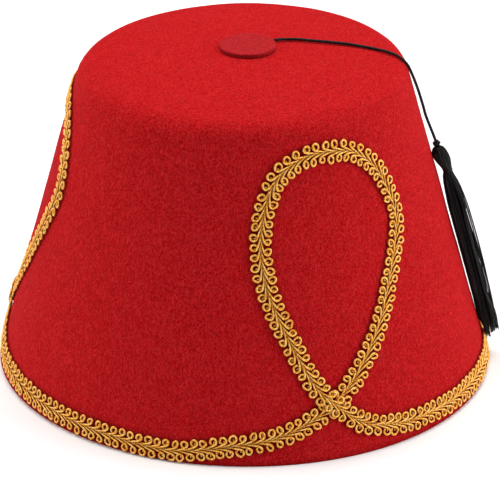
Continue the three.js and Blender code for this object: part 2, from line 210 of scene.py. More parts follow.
def felt_material(name, colour, dark, light):
    """Matted wool: short pale fibres that curl over each other on a darker, finer ground."""
    material, tree, shader = new_material(name)
    place = add_node(tree, "TexCoord").outputs["Object"]
    fibres = None
    for stretch, scale in FIBRE_LAYERS:
        spread = add_node(tree, "Mapping", {"Vector": place, "Scale": stretch}).outputs["Vector"]
        field = add_node(
            tree,
            "TexNoise",
            {"Vector": spread, "Scale": scale, "Detail": 1.0, "Roughness": 0.5, "Distortion": 0.5},
        ).outputs["Fac"]
        off_middle = add_node(tree, "Math", {0: field, 1: 0.5}, operation="SUBTRACT").outputs[0]
        apart = add_node(tree, "Math", {0: off_middle}, operation="ABSOLUTE").outputs[0]
        line = add_node(
            tree, "MapRange", {"Value": apart, "From Max": FIBRE_WIDTH, "To Min": 1.0, "To Max": 0.0}
        ).outputs["Result"]
        if fibres is None:
            fibres = line
        else:
            fibres = add_node(tree, "Math", {0: fibres, 1: line}, operation="MAXIMUM").outputs[0]
    down = add_node(tree, "Mapping", {"Vector": place, "Scale": (1, 1, 0.6)}).outputs["Vector"]
    ground = add_node(
        tree,
        "TexNoise",
        {"Vector": down, "Scale": 1500.0, "Detail": 3.0, "Roughness": 0.65, "Distortion": 0.6},
    ).outputs["Fac"]
    clouds = add_node(
        tree, "TexNoise", {"Vector": place, "Scale": 55.0, "Detail": 3.0, "Roughness": 0.5}
    ).outputs["Fac"]
    fine = add_node(tree, "Mix", {0: FIBRE_SHARE, 2: ground, 3: fibres}, data_type="FLOAT").outputs[0]
    tone = add_node(tree, "Mix", {0: CLOUD_SHARE, 2: fine, 3: clouds}, data_type="FLOAT").outputs[0]
    ramp = add_node(tree, "ValToRGB", {"Fac": tone})
    ramp_colours(ramp, ((0.26, dark), (0.44, colour), (0.68, light)))
    # Painted shade: where the crown's mesh marks it, the felt is darkened under and beside the braid
    # and at the rim's foot.
    braid_shade = add_node(tree, "Attribute", attribute_name="braid_shade").outputs["Fac"]
    braid_shaded = add_node(
        tree,
        "Mix",
        {0: braid_shade, 6: ramp.outputs["Color"], 7: (*BRAID_SHADE_TINT, 1)},
        data_type="RGBA",
        blend_type="MULTIPLY",
    )
    tree.links.new(braid_shaded.outputs[2], shader.inputs["Base Color"])
    bump = add_node(tree, "Bump", {"Height": fine, "Strength": 0.7, "Distance": 0.0005})
    tree.links.new(bump.outputs["Normal"], shader.inputs["Normal"])
    shader.inputs["Roughness"].default_value = 0.92
    shader.inputs["Specular IOR Level"].default_value = 0.04
    shader.inputs["Sheen Weight"].default_value = 0.17
    shader.inputs["Sheen Roughness"].default_value = 0.5
    shader.inputs["Sheen Tint"].default_value = (1, 0.05, 0.05, 1)
    return material


def sink_and_rise(points):
    """Moves points on the felt by the slight unevenness of its hand-pulled surface."""
    for point in points:
        wave = noise.noise(Vector(point) / FELT_WAVE_SPAN) * FELT_WAVE
        wave *= min(point[2] / FELT_WAVE_FOOT, 1)
        point += wave * np.array(Vector((point[0], point[1], 0.3 * point[2])).normalized())


outside = crown_outline(0, *OUTSIDE_ROWS)
inside = crown_outline(FELT_WALL, *INSIDE_ROWS)[::-1]
cut = np.array(
    (
        (inside[-1, 0] + CUT_ROUND, 0),
        ((inside[-1, 0] + outside[0, 0]) / 2, 0),
        (outside[0, 0] - CUT_ROUND, 0),
    )
)
crown_points, crown_faces = turned(np.concatenate((inside, cut, outside)), CROWN_SIDES)
crown_round = np.hypot(crown_points[:, 0], crown_points[:, 1])
crown_azimuth = np.arctan2(crown_points[:, 0], -crown_points[:, 1])
crown_radius = oval_radius(crown_round, crown_azimuth, crown_points[:, 2])
crown_points[:, 0] = crown_radius * np.sin(crown_azimuth)
crown_points[:, 1] = -crown_radius * np.cos(crown_azimuth)
sink_and_rise(crown_points)
crown = new_piece("crown_felt", crown_points, crown_faces)
crown.data.materials.append(felt_material("crown_wool", CROWN_RED, CROWN_DARK, CROWN_LIGHT))
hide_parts("felt_crown")
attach(crown, "root")

# Nap
# Short wool fibres that have worked loose of the felt and lie on its surface, mostly down the
# crown's side. They are thin and flat, pointed at both ends, and paler or darker than the felt.
NAP_FIBRES = 46000
NAP_LENGTH = (0.0010, 0.0030)
NAP_WIDTH = (0.00007, 0.00015)
# How much a fibre bends, as a share of its length, and how far it strays from pointing down.
NAP_BEND = 0.16
NAP_STRAY = 0.6
# How far off the felt a fibre's root, middle and tip lie, and how far the tip can lift.
NAP_ROOT = 0.00002
NAP_LIE = 0.00012
NAP_TIP = 0.00003
NAP_LIFT = 0.00030
# Along the crown's outline: the lowest a fibre reaches, where their middles start, how far from
# the top's middle they end, and where and within what length they come to lie all ways.
NAP_FOOT = 0.0004
NAP_START = 0.0012
NAP_END = 0.010
NAP_SIDE = 0.12
NAP_TURN_OVER = 0.02
NAP_DARK = (0.28, 0.0010, 0.0024)
NAP_LIGHT = (0.74, 0.0430, 0.0470)


def loose_fibres(name, lines, widths, facing, shades):
    """One mesh of flat fibres, each through a start, a middle and an end point."""
    travel = lines[:, 2] - lines[:, 0]
    sideways = np.cross(facing, travel)
    sideways *= (widths / np.linalg.norm(sideways, axis=1))[:, None] / 2
    corners = np.stack(
        (lines[:, 0], lines[:, 1] - sideways, lines[:, 2], lines[:, 1] + sideways), axis=1
    )
    faces = np.arange(4 * len(lines)).reshape(-1, 4)
    piece = new_piece(name, corners.reshape(-1, 3), faces.tolist())
    shade = piece.data.attributes.new("shade", "FLOAT", "POINT")
    shade.data.foreach_set("value", np.repeat(shades, 4).astype(np.float32))
    return piece


def nap_material(name, dark, light):
    """Single wool fibres, each dyed a little paler or darker."""
    material, tree, shader = new_material(name)
    shade = add_node(tree, "Attribute", attribute_name="shade").outputs["Fac"]
    ramp = add_node(tree, "ValToRGB", {"Fac": shade})
    ramp_colours(ramp, ((0.0, dark), (1.0, light)))
    tree.links.new(ramp.outputs["Color"], shader.inputs["Base Color"])
    shader.inputs["Roughness"].default_value = 0.9
    shader.inputs["Specular IOR Level"].default_value = 0.05
    return material


outside_reach = np.concatenate(
    ((0,), np.cumsum(np.linalg.norm(np.diff(outside, axis=0), axis=1)))
)
outside_travel = np.gradient(outside, axis=0)
outside_travel /= np.linalg.norm(outside_travel, axis=1, keepdims=True)


def on_felt(reach, azimuth, off):
    """Points on the crown's outside, reach along its outline from the rim, and its normals."""
    radius, height, inwards, upwards = (
        np.interp(reach, outside_reach, values)
        for values in (*outside.T, *outside_travel.T)
    )
    radius = oval_radius(radius, azimuth, height) + off * upwards
    around = np.stack((np.sin(azimuth), -np.cos(azimuth), 0 * azimuth), axis=1)
    points = around * radius[:, None]
    points[:, 2] = height - off * inwards
    normal = around * upwards[:, None]
    normal[:, 2] = -inwards
    return points, normal


# The narrower the crown, the fewer fibres are kept there, so that they lie evenly all over it.
rng = np.random.default_rng(12)
tried = rng.uniform(NAP_START, outside_reach[-1] - NAP_END, 2 * NAP_FIBRES)
width_there = np.interp(tried, outside_reach, outside[:, 0])
nap_reach = tried[rng.uniform(0, RIM_RADIUS, len(tried)) < width_there][:NAP_FIBRES]
nap_count = len(nap_reach)
nap_azimuth = rng.uniform(0, 2 * math.pi, nap_count)
nap_round = np.interp(nap_reach, outside_reach, outside[:, 0])
on_top = np.clip((nap_reach - NAP_SIDE) / NAP_TURN_OVER, 0, 1)
nap_turn = rng.normal(0, NAP_STRAY, nap_count) * (1 - on_top)
nap_turn += rng.uniform(0, math.pi, nap_count) * on_top
nap_length = rng.uniform(*NAP_LENGTH, nap_count)
nap_bend = rng.normal(0, NAP_BEND, nap_count) * nap_length
nap_lines = []
for share, bend, off in (
    (-0.5, 0, NAP_ROOT),
    (0, 1, rng.uniform(0.3, 1, nap_count) * NAP_LIE),
    (0.5, 0, rng.uniform(0, 1, nap_count) ** 4 * NAP_LIFT + NAP_TIP),
):
    up = share * nap_length * np.cos(nap_turn) - bend * nap_bend * np.sin(nap_turn)
    across = share * nap_length * np.sin(nap_turn) + bend * nap_bend * np.cos(nap_turn)
    points, facing = on_felt(
        np.clip(nap_reach + up, NAP_FOOT, None), nap_azimuth + across / nap_round, off
    )
    sink_and_rise(points)
    nap_lines.append(points)
nap = loose_fibres(
    "crown_nap",
    np.stack(nap_lines, axis=1),
    rng.uniform(*NAP_WIDTH, nap_count),
    facing,
    np.clip(rng.normal(0.5, 0.28, nap_count), 0, 1),
)
nap.data.materials.append(nap_material("nap_wool", NAP_DARK, NAP_LIGHT))
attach(nap, "root")

# Button
# A thin disc punched from felt of a slightly duller red, sewn on over the place where the cord
# comes out. The stitches draw its middle down on a felt pad, and its cut edge stands clear of the
# crown and is fuzzy.
BUTTON_RADIUS = 0.011
BUTTON_SIDES = 120
# Its place right of and behind the top's middle, and the gap between it and the crown.
BUTTON_RIGHT = 0.002
BUTTON_BACK = 0.0015
BUTTON_GAP = 0.0001
# The thickness of disc and pad together and of the disc alone, how far in from the disc's edge the
# pad ends, and how deep the disc is dished.
BUTTON_THICKNESS = 0.0017
BUTTON_DISC = 0.0009
BUTTON_PAD_IN = 0.0004
BUTTON_DISH = 0.0004
DISH_FLATNESS = 8
# How uneven its outline and its height are, and over what distance each changes.
OUTLINE_WAVE = 0.02
OUTLINE_WAVE_SPAN = 0.008
HEIGHT_WAVE = 0.00014
HEIGHT_WAVE_SPAN = 0.006
BUTTON_RED = (0.39, 0.0125, 0.0160)
BUTTON_DARK = (0.31, 0.0070, 0.0100)
BUTTON_LIGHT = (0.50, 0.0240, 0.0280)
# The palest fuzz colour, which the fibres at the edge lean to as a painted highlight.
BUTTON_PALE = (0.66, 0.0580, 0.0640)
FUZZ_FIBRES = 1500
FUZZ_LENGTH = (0.0006, 0.0018)
# How high a fibre's root, middle and tip stand over the disc's top, by their share along it, and
# how steeply the fibres droop past its edge.
FUZZ_STAND = ((-0.5, 0.00010), (0, 0.00018), (0.5, 0.00014))
FUZZ_DROOP = 0.9

edge_angle = np.linspace(-math.pi / 2, math.pi / 2, 13)
button_edge = np.stack(
    (
        BUTTON_RADIUS - BUTTON_DISC / 2 * (1 - np.cos(edge_angle)),
        BUTTON_THICKNESS - BUTTON_DISC / 2 * (1 - np.sin(edge_angle)),
    ),
    axis=1,
)
pad_rows = np.linspace(0, BUTTON_RADIUS - BUTTON_PAD_IN, 12)
button_pad = np.stack((pad_rows, 0 * pad_rows), axis=1)
pad_wall = np.array(
    (
        (BUTTON_RADIUS - BUTTON_PAD_IN, (BUTTON_THICKNESS - BUTTON_DISC) / 2),
        (BUTTON_RADIUS - BUTTON_PAD_IN, BUTTON_THICKNESS - BUTTON_DISC),
    )
)
top_rows = np.linspace(BUTTON_RADIUS - BUTTON_DISC / 2, 0, 16)[1:]
dish = BUTTON_DISH * (1 - (top_rows / top_rows[0]) ** DISH_FLATNESS)
button_top = np.stack((top_rows, BUTTON_THICKNESS - dish), axis=1)
button_points, button_faces = turned(
    np.concatenate((button_pad, pad_wall, button_edge, button_top)), BUTTON_SIDES
)
for point in button_points:
    uneven = 1 + OUTLINE_WAVE * noise.noise(Vector(point) / OUTLINE_WAVE_SPAN)
    point[0] = point[0] * uneven + BUTTON_RIGHT
    point[1] = point[1] * uneven + BUTTON_BACK
    point[2] += dome_height(math.hypot(point[0], point[1])) + BUTTON_GAP
    point[2] += HEIGHT_WAVE * noise.noise(Vector(point) / HEIGHT_WAVE_SPAN)
button = new_piece("button", button_points, button_faces)
button.data.materials.append(felt_material("button_wool", BUTTON_RED, BUTTON_DARK, BUTTON_LIGHT))

# Half of the short fibres stand a little off the disc's edge all round, and half lie on its top.
rng = np.random.default_rng(5)
fuzz_azimuth = rng.uniform(0, 2 * math.pi, FUZZ_FIBRES)
on_rim = rng.uniform(0, 1, FUZZ_FIBRES) < 0.5
fuzz_radius = BUTTON_RADIUS * np.where(
    on_rim, rng.normal(0.955, 0.01, FUZZ_FIBRES), rng.uniform(0, 0.95, FUZZ_FIBRES) ** 0.5
)
fuzz_length = rng.uniform(*FUZZ_LENGTH, FUZZ_FIBRES)
fuzz_turn = rng.normal(0, 0.5, FUZZ_FIBRES)
fuzz_lines = []
for share, stand in FUZZ_STAND:
    out = fuzz_radius + share * fuzz_length * np.sin(fuzz_turn)
    angle = fuzz_azimuth + share * fuzz_length * np.cos(fuzz_turn) / np.maximum(fuzz_radius, 0.003)
    x = out * np.sin(angle) + BUTTON_RIGHT
    y = -out * np.cos(angle) + BUTTON_BACK
    z = dome_height(np.hypot(x, y)) + BUTTON_THICKNESS + stand
    z -= BUTTON_DISH * (1 - np.minimum(out / top_rows[0], 1) ** DISH_FLATNESS)
    z -= np.maximum(out - top_rows[0], 0) * FUZZ_DROOP
    fuzz_lines.append(np.stack((x, y, z), axis=1))
# The fibres at the disc's edge are coloured paler, a painted highlight round its rim.
fuzz = loose_fibres(
    "button_fuzz",
    np.stack(fuzz_lines, axis=1),
    rng.uniform(*NAP_WIDTH, FUZZ_FIBRES),
    np.tile((0.0, 0.0, 1.0), (FUZZ_FIBRES, 1)),
    np.clip(rng.normal(0.35, 0.25, FUZZ_FIBRES) + 0.5 * on_rim, 0, 1),
)
fuzz.data.materials.append(nap_material("fuzz_wool", BUTTON_RED, BUTTON_PALE))
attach(fuzz, "root")
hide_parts("top_button")
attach(button, "root")

# Cord
# A thin black cord of three twisted yarns. It comes out from under the button's edge, lies across
# the top, turns down over the round edge and runs on inside the tassel, which is tied to it.
CORD_DIAMETER = 0.0012
CORD_TWIST = 0.0034
CORD_GROOVE = 0.24
CORD_STEPS = 620
CORD_SIDES = 18
SILK_BLACK = (0.0042, 0.0038, 0.0042)
# Where the cord's lower end goes: how deep it runs into the tassel, how far below the crown's top
# and off its side the tassel hangs, the heights of the knot, head and neck that it passes, and how
# far the head leans in.
CORD_DEPTH = 0.036
TASSEL_DROP = 0.0364
TASSEL_OFF = 0.00446
KNOT_HEIGHT = 0.0024
HEAD_HEIGHT = 0.0084
NECK_HEIGHT = 0.003
HEAD_LEAN = 0.0015
CORD_ROUTE = (
    (0.01185, 0.00735, 0.129645),
    (0.0150, 0.0084, 0.12952),
    (0.0210, 0.0091, 0.12922),
    (0.0270, 0.0087, 0.12886),
    (0.0340, 0.0084, 0.12831),
    (0.0405, 0.0080, 0.12769),
    (0.0465, 0.0070, 0.12703),
    (0.0520, 0.0057, 0.12635),
    (0.0563, 0.0040, 0.12577),
    (0.0598, 0.0020, 0.12483),
    (0.0629, 0.0005, 0.12236),
    (0.06465, 0.0, 0.1190),
    (0.06708, 0.0, 0.1126),
    (0.06935, -0.0002, 0.1052),
    (0.07035, -0.0001, 0.1015),
)

tassel_top = CROWN_HEIGHT - TASSEL_DROP
neck_foot = -HEAD_HEIGHT - NECK_HEIGHT
tassel_origin = on_side(math.pi / 2, tassel_top, TASSEL_OFF)
tassel_out = np.array((math.cos(side_lean), 0, math.sin(side_lean)))
tassel_up = np.array((-math.sin(side_lean), 0, math.cos(side_lean)))


def smooth_step(value, low, high):
    share = np.clip((value - low) / (high - low), 0, 1)
    return share * share * (3 - 2 * share)


def lean_in(z):
    """The head is thinner than the skirt, so it leans in to lie against the crown as well."""
    return -HEAD_LEAN * (1 - smooth_step(-z, 0, -neck_foot))


def in_tassel(local):
    """Points given as (out from the crown, sideways, up the slope) from the top of the head."""
    local = np.asarray(local, dtype=float)
    out = local[..., :1] + lean_in(local[..., 2:])
    sideways = local[..., 1:2] * np.array((0, 1, 0))
    return tassel_origin + out * tassel_out + sideways + local[..., 2:] * tassel_up


def smooth_path(knots, count, fineness=60):
    """A smooth line through the knots, as points at even steps along it."""
    knots = np.asarray(knots, dtype=float)
    knots = np.vstack((2 * knots[0] - knots[1], knots, 2 * knots[-1] - knots[-2]))
    share = np.linspace(0, 1, fineness, endpoint=False)[:, None]
    line = []
    for before, start, end, after in zip(knots, knots[1:], knots[2:], knots[3:]):
        lead, span, tail = (
            math.sqrt(np.linalg.norm(b - a))
            for a, b in ((before, start), (start, end), (end, after))
        )
        leave = (start - before) / lead - (end - before) / (lead + span) + (end - start) / span
        arrive = (end - start) / span - (after - start) / (span + tail) + (after - end) / tail
        leave = leave * span
        arrive = arrive * span
        turn = 2 * (start - end) + leave + arrive
        bend = 3 * (end - start) - 2 * leave - arrive
        line.append(((turn * share + bend) * share + leave) * share + start)
    line = np.vstack((*line, knots[-2:-1]))
    reach = np.concatenate(((0,), np.cumsum(np.linalg.norm(np.diff(line, axis=0), axis=1))))
    even = np.linspace(0, reach[-1], count)
    return np.stack([np.interp(even, reach, axis) for axis in line.T], axis=1)


def tubes(name, lines, facing, radius, sides, swell=None):
    """One mesh of closed tubes along lines that all have the same number of points. Facing is a
    direction off each line, and swell scales the radius by the angle round and the way along."""
    lines = np.asarray(lines, dtype=float)
    count, steps = lines.shape[:2]
    travel = np.gradient(lines, axis=1)
    travel /= np.linalg.norm(travel, axis=2, keepdims=True)
    side = np.cross(np.broadcast_to(facing, lines.shape), travel)
    side /= np.linalg.norm(side, axis=2, keepdims=True)
    top = np.cross(travel, side)
    stretch = np.linalg.norm(np.diff(lines, axis=1), axis=2)
    along = np.concatenate((np.zeros((count, 1)), np.cumsum(stretch, axis=1)), axis=1)
    around = 2 * np.pi * np.arange(sides) / sides
    reach = np.broadcast_to(radius, (count, steps))[..., None] * np.ones(sides)
    if swell:
        reach = reach * swell(around, along[..., None])
    points = (
        lines[:, :, None]
        + (reach * np.cos(around))[..., None] * side[:, :, None]
        + (reach * np.sin(around))[..., None] * top[:, :, None]
    )
    ring = np.arange(sides)
    grid = (np.arange(count)[:, None, None] * steps + np.arange(steps)[:, None]) * sides + ring
    low, high = grid[:, :-1], grid[:, 1:]
    quads = np.stack((low, np.roll(low, -1, 2), np.roll(high, -1, 2), high), axis=-1)
    ends = [*grid[:, 0, ::-1].tolist(), *grid[:, -1].tolist()]
    piece = new_piece(name, points.reshape(-1, 3), quads.reshape(-1, 4).tolist() + ends)
    wrap = np.broadcast_to(
        np.stack(
            np.broadcast_arrays(np.cos(around), np.sin(around), along[..., None]), axis=-1
        ),
        points.shape,
    )
    store = piece.data.attributes.new("wrap", "FLOAT_VECTOR", "POINT")
    store.data.foreach_set("vector", wrap.astype(np.float32).ravel())
    return piece


def silk_material(name, colour, roughness, lean=0.0, stretch=1.0):
    """Spun black silk with fine filaments, and paler streaks that are painted highlights on the
    strands. Stretch draws the streaks out along the lean.
    """
    material, tree, shader = new_material(name)
    place = add_node(tree, "TexCoord").outputs["Object"]
    filaments = add_node(
        tree, "TexNoise", {"Vector": place, "Scale": 2600.0, "Detail": 2.0, "Roughness": 0.6}
    ).outputs["Fac"]
    upright = add_node(tree, "Mapping", {"Vector": place, "Rotation": (0, lean, 0)})
    drawn = add_node(
        tree, "Mapping", {"Vector": upright.outputs["Vector"], "Scale": (1, 1, 1 / stretch)}
    )
    locks = add_node(
        tree,
        "TexNoise",
        {"Vector": drawn.outputs["Vector"], "Scale": 1100.0, "Detail": 2.0, "Roughness": 0.6},
    ).outputs["Fac"]
    # The ramp's paler end is painted highlight: light streaks on the black strands.
    ramp = add_node(tree, "ValToRGB", {"Fac": locks})
    dark = tuple(part * 0.5 for part in colour)
    light = tuple(part * 6.5 for part in colour)
    ramp_colours(ramp, ((0.38, dark), (0.52, colour), (0.70, light)))
    tree.links.new(ramp.outputs["Color"], shader.inputs["Base Color"])
    dull = add_node(
        tree,
        "MapRange",
        {"Value": filaments, "To Min": roughness - 0.12, "To Max": roughness + 0.12},
    )
    tree.links.new(dull.outputs["Result"], shader.inputs["Roughness"])
    bump = add_node(tree, "Bump", {"Height": filaments, "Strength": 0.4, "Distance": 0.0001})
    tree.links.new(bump.outputs["Normal"], shader.inputs["Normal"])
    shader.inputs["Specular IOR Level"].default_value = 0.16
    return material


def three_yarns(around, along):
    """Three round yarns laid together, which turn round each other once every twist."""
    turned_by = around - 2 * np.pi * along / CORD_TWIST
    return 1 - CORD_GROOVE * (1 - np.abs(np.cos(1.5 * turned_by))) ** 1.4


in_head = (KNOT_HEIGHT, 0, neck_foot / 3, 2 * neck_foot / 3, neck_foot)
cord_end = in_tassel([(0, 0, z) for z in (*in_head, -CORD_DEPTH / 2, -CORD_DEPTH)])
cord_path = smooth_path(np.vstack((CORD_ROUTE, cord_end)), CORD_STEPS)
cord = tubes("cord", [cord_path], (0, 1, 0.4), CORD_DIAMETER / 2, CORD_SIDES, three_yarns)
cord.data.materials.append(silk_material("cord_silk", SILK_BLACK, 0.55))
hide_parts("tassel_cord")
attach(cord, "root")

# Knot
# The cord is tied in one small overhand knot just above the tassel's head, so that the head can't
# slide up it: two tight turns round the cord, with one strand drawn across them.
KNOT_RADIUS = 0.00086
KNOT_STRAND = 0.00052
KNOT_TURNS = 2.2
KNOT_LENGTH = 0.0015
KNOT_STEPS = 90
# The strand drawn across: how far off it starts, how far it swings out and sideways, and climbs.
ACROSS_START = 0.0002
ACROSS_OUT = 0.0010
ACROSS_SIDEWAYS = 0.0009
ACROSS_CLIMB = 0.0021

# The turns are drawn tighter at their two ends than between them.
knot_share = np.linspace(0, 1, KNOT_STEPS)
knot_angle = 2 * KNOT_TURNS * np.pi * knot_share
knot_round = KNOT_RADIUS * (0.75 + 0.35 * np.sin(np.pi * knot_share))
knot_rise = KNOT_STRAND + KNOT_LENGTH * knot_share
knot_winding = in_tassel(
    np.stack((knot_round * np.cos(knot_angle), knot_round * np.sin(knot_angle), knot_rise), axis=1)
)
knot_across = in_tassel(
    np.stack(
        (
            ACROSS_START + ACROSS_OUT * np.sin(np.pi * knot_share),
            ACROSS_SIDEWAYS * np.cos(np.pi * knot_share),
            ACROSS_START + ACROSS_CLIMB * knot_share,
        ),
        axis=1,
    )
)
knot = tubes("knot", [knot_winding, knot_across], tassel_up, KNOT_STRAND, 12)
knot.data.materials.append(bpy.data.materials["cord_silk"])
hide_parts("cord_knot")
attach(knot, "root")

# Tassel
# A hank of black silk threads hung over the cord's end, bound tight below the fold to make a head
# and a neck, and cut off unevenly at the foot. The skirt fans out and its outer threads stray.
HEAD_DIAMETER = 0.0058
SKIRT_DIAMETER = 0.0082
TASSEL_HEM = 0.0064
HEAD_THREADS = 60
HEAD_THREAD_RADIUS = 0.00022
SKIRT_LOCKS = 34
LOCK_THREADS = 13
THREAD_RADIUS = 0.00016
TASSEL_STEPS = 26
# In shares of the skirt's half width: about the radius of a lock, how far a thread drifts to its
# end, and how far out from the crown the locks' threads go in the middle part of the skirt.
LOCK_RADIUS = 0.055
THREAD_DRIFT = 0.04
OUTER_LIMIT = 0.52
# In metres: how wavy a thread is, how clear of the felt it stays, and how much more at its foot,
# where it hangs over the braid.
THREAD_WAVE = 0.0002
FELT_CLEAR = 0.0004
FOOT_CLEAR = 0.0014
# The dark core that keeps the threads opaque, in shares of the skirt: its width and its length.
CORE_WIDE = 0.52
CORE_LONG = 0.84
# The binding round the neck.
NECK_RADIUS = 0.0015
BINDING_TURNS = 8
BINDING_OUT = 0.00025
BINDING_RADIUS = 0.0002

# Loose wisps on the outer side: their place in the skirt at their start and end, sideways too,
# their length as a share of it, and how far they stand off at their middle and at their end.
WISP_THREADS = 3
WISP_SPREAD = 0.00014
LOOSE_WISPS = (
    (0.60, 0.92, 0.3, 0.98, 0.0, 0.0),
    (0.94, 0.52, -0.3, 0.95, 0.0003, 0.0002),
    (0.72, 1.02, 0.1, 0.97, 0.0001, 0.0003),
    (1.04, 0.78, -0.1, 0.96, 0.0002, 0.0),
    (1.0, 0.98, 0.2, 0.98, 0.0002, 0.0),
)

# How the skirt's half width runs down its length, both as shares, how far it sags towards the
# crown, in metres, and how the head's half width runs down from its top.
SKIRT_ROWS = np.array((
    (0, 0.4), (0.04, 0.6), (0.09, 0.8), (0.14, 0.88), (0.2, 0.97), (0.26, 1),
    (0.45, 1), (0.6, 0.97), (0.7, 0.94), (0.8, 0.93), (0.9, 0.92), (1, 0.86),
))
SKIRT_SAG = np.array((
    (0, 0.0001), (0.04, 0.0004), (0.1, 0.0002), (0.3, 0), (0.6, 0), (0.8, 0.0003), (1, 0.0009),
))
HEAD_ROWS = np.array((
    (0, 0.12), (0.03, 0.42), (0.1, 0.72), (0.22, 0.93), (0.38, 1),
    (0.55, 0.94), (0.72, 0.76), (0.86, 0.6), (1, 0.53),
))

skirt_length = (tassel_top - TASSEL_HEM) / math.cos(side_lean) + neck_foot
rng = np.random.default_rng(31)


def skirt_wide(down):
    return np.interp(down, *SKIRT_ROWS.T) * SKIRT_DIAMETER / 2


def skirt_sag(down):
    """How far the skirt has sunk towards the crown's side."""
    return -np.interp(down, *SKIRT_SAG.T)


def head_wide(down):
    return np.interp(down, *HEAD_ROWS.T) * HEAD_DIAMETER / 2


def hanging_thread(across, sideways, length, turn_out=0.0, bulge=0.0, flare=0.0, most=2.0):
    """A thread from the neck down: its place in the skirt as shares of the half width there. Bulge
    and flare stand it off at its middle and end, and most limits it in the skirt's middle part."""
    down = np.linspace(0, 1, TASSEL_STEPS)
    fallen = down * length / skirt_length
    wide = skirt_wide(fallen) - THREAD_RADIUS
    bend = rng.normal(0, THREAD_WAVE, 2)
    sway = np.sin(rng.uniform(0, 2 * math.pi) + 5 * down) * np.minimum(down * 3, 1)
    drift = rng.normal(0, THREAD_DRIFT, 2)
    full = 1 - smooth_step(fallen, 0.14, 0.3) + smooth_step(fallen, 0.72, 0.92)
    place = np.minimum(across + (turn_out + drift[0]) * down, most + (1 - most) * full)
    out = wide * place + bend[0] * sway + skirt_sag(fallen)
    out += bulge * np.sin(np.pi * down) ** 2 + flare * down**3
    least = -TASSEL_OFF + FELT_CLEAR + FOOT_CLEAR * smooth_step(fallen, 0.88, 0.95)
    return np.stack(
        (
            np.maximum(out, least),
            wide * (sideways + drift[1] * down) + bend[1] * sway,
            neck_foot + 0.0008 - length * down,
        ),
        axis=1,
    )


skirt_lines = []
for lock in range(SKIRT_LOCKS):
    reach = math.sqrt(rng.uniform(0.02, 0.86))
    turn = rng.uniform(0, 2 * math.pi)
    lock_length = skirt_length * rng.uniform(0.95, 1.02) * (1 - 0.02 * math.cos(turn))
    for thread in range(LOCK_THREADS):
        across = reach * math.cos(turn) + rng.normal(0, LOCK_RADIUS)
        sideways = reach * math.sin(turn) + rng.normal(0, LOCK_RADIUS)
        inward = max(1.0, math.hypot(across, sideways))
        skirt_lines.append(
            hanging_thread(
                across / inward,
                sideways / inward,
                lock_length * rng.uniform(0.97, 1.01),
                most=rng.uniform(0.7, 1) * OUTER_LIMIT,
            )
        )
for across, ends_at, sideways, length, bulge, flare in LOOSE_WISPS:
    wisp = hanging_thread(
        across, sideways, length * skirt_length, ends_at - across, bulge, flare
    )
    for thread in range(WISP_THREADS):
        apart = rng.normal(0, WISP_SPREAD, 2) * np.linspace(0, 1, TASSEL_STEPS)[:, None] ** 0.5
        shorter = 1 - rng.uniform(0, 0.04) * np.linspace(0, 1, TASSEL_STEPS)
        hanging = wisp + np.column_stack((apart, np.zeros(TASSEL_STEPS)))
        hanging[:, 2] = neck_foot + (hanging[:, 2] - neck_foot) * shorter
        skirt_lines.append(hanging)
skirt = np.array(skirt_lines)
head_lines = []
head_down = np.linspace(0, 1, TASSEL_STEPS)
for thread in range(HEAD_THREADS):
    angle = 2 * math.pi * (thread + rng.uniform(-0.25, 0.25)) / HEAD_THREADS
    lie = head_wide(head_down) + rng.uniform(-0.0002, 0.00008)
    twist = angle + rng.uniform(-0.35, 0.35) * head_down
    head_lines.append(
        np.stack((lie * np.cos(twist), lie * np.sin(twist), neck_foot * 0.98 * head_down), axis=1)
    )
threads = np.concatenate((skirt, np.array(head_lines)))
thread_radii = np.full((len(threads), 1), THREAD_RADIUS)
thread_radii[len(skirt):] = HEAD_THREAD_RADIUS
tassel = tubes("tassel_threads", in_tassel(threads), (0.2, 1, 0), thread_radii, 5)

core_skirt = np.linspace(CORE_LONG, 0.02, 14)
core_head = np.linspace(1, 0.04, 16)
core_profile = np.concatenate(
    (
        ((0, neck_foot - (CORE_LONG + 0.02) * skirt_length),),
        np.stack((CORE_WIDE * skirt_wide(core_skirt), neck_foot - skirt_length * core_skirt), axis=1),
        np.stack((head_wide(core_head) - THREAD_RADIUS, neck_foot * core_head), axis=1),
        ((0, -0.0001),),
    )
)
core_points, core_faces = turned(core_profile, 28)
core_down = (neck_foot - core_points[:, 2]) / skirt_length
core_points[:, 0] += skirt_sag(core_down) * smooth_step(core_down, 0, 0.1)
core = new_piece("tassel_core", in_tassel(core_points), core_faces)
binding_share = np.linspace(0, 1, 40 * BINDING_TURNS)
binding_angle = 2 * np.pi * BINDING_TURNS * binding_share
binding_line = np.stack(
    (
        (NECK_RADIUS + BINDING_OUT) * np.cos(binding_angle),
        (NECK_RADIUS + BINDING_OUT) * np.sin(binding_angle),
        neck_foot + BINDING_RADIUS + (NECK_HEIGHT - 2 * BINDING_RADIUS) * binding_share,
    ),
    axis=1,
)
binding = tubes("tassel_binding", [in_tassel(binding_line)], tassel_up, BINDING_RADIUS, 8)
thread_silk = silk_material("tassel_silk", SILK_BLACK, 0.3, side_lean, 18.0)
for part in (tassel, core, binding):
    part.data.materials.append(thread_silk)
    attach(part, "root")
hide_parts("tassel")

# Gold braid
# One length of scroll gimp: two rows of gold-wrapped threads that run side by side along the
# middle, each curling outwards into a ring. It is glued along the rim and up into three loops.
BRAID_WIDTH = 0.0084
BRAID_FOOT = 0.0003
# How far the upper run is lifted where it crosses the lower one, and the distances from the
# crossing where this lift begins to fall and where it has gone.
CROSSING_LIFT = 0.001
LIFT_REACH = (0.4 * BRAID_WIDTH, 0.7 * BRAID_WIDTH)
# The loops: their number, the first one's azimuth, how far they spread to each side, and how far
# under the crown's top they end. Run up is the braid's rise midway between two, as a share of theirs.
LOOP_COUNT = 3
LOOP_AZIMUTH = math.radians(27.5)
LOOP_HALF_SPREAD = math.radians(22.8)
LOOP_TOP_GAP = 0.0085
RUN_UP = 0.004
